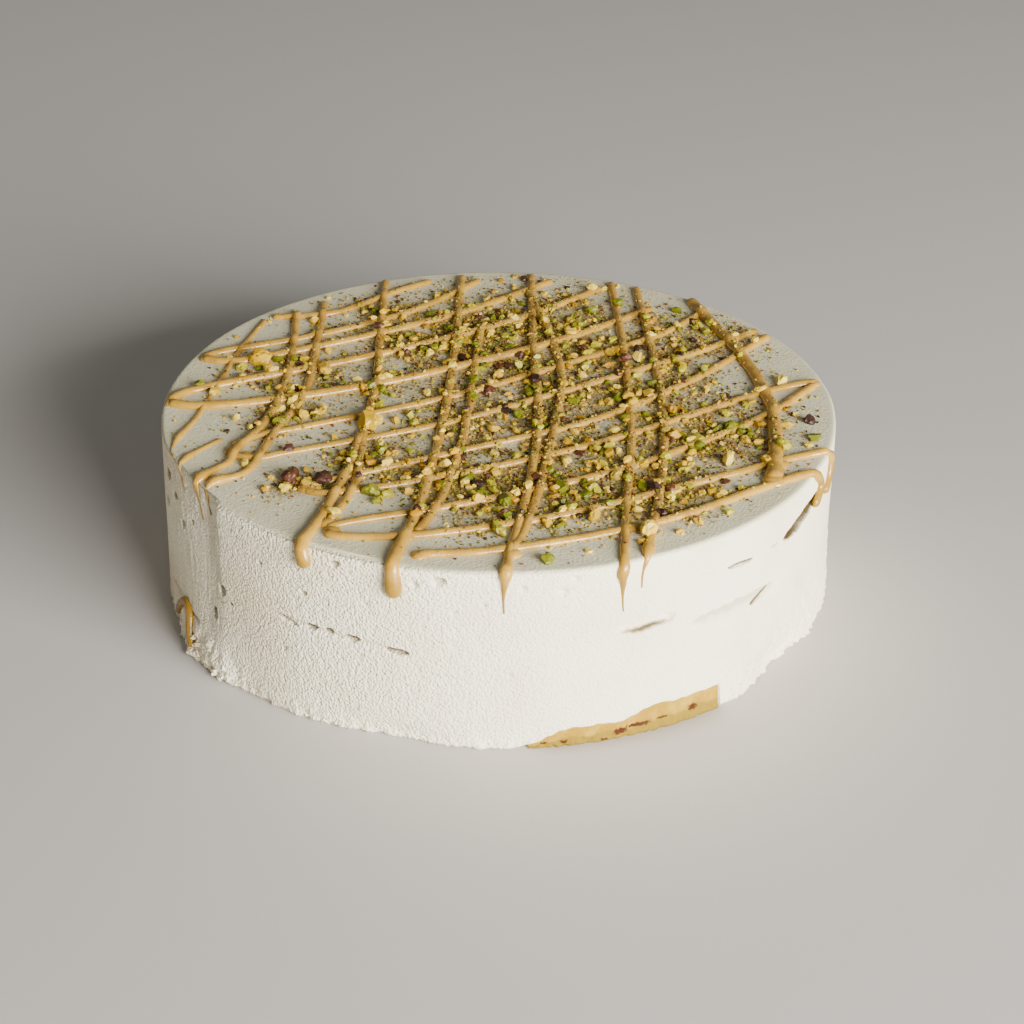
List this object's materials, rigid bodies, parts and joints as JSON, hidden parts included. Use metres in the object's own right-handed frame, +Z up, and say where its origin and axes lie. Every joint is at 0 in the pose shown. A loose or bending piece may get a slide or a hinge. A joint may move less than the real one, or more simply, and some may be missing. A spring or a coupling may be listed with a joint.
{
  "type": "pistachio cake",
  "caption": "Whole round cream cake on a thin sponge base, zigzagged with caramel sauce that runs over the rim, and strewn with chopped pistachios.",
  "frame": {"origin": "middle of the flat underside of the sponge base", "axes": "+Z up, -Y the front of the cake, where the sponge base shows at the right, +X to the right"},
  "size_m": [0.2007, 0.2018, 0.0594],
  "materials": {
    "cream": "matt, fine open crumb",
    "sponge": "matt, crumbly",
    "caramel_sauce": "glossy",
    "pistachio": "satin, waxy"
  },
  "bodies": {
    "root": {"cream_cake": "cream", "sponge_base": "sponge"}
  },
  "joints": []
}
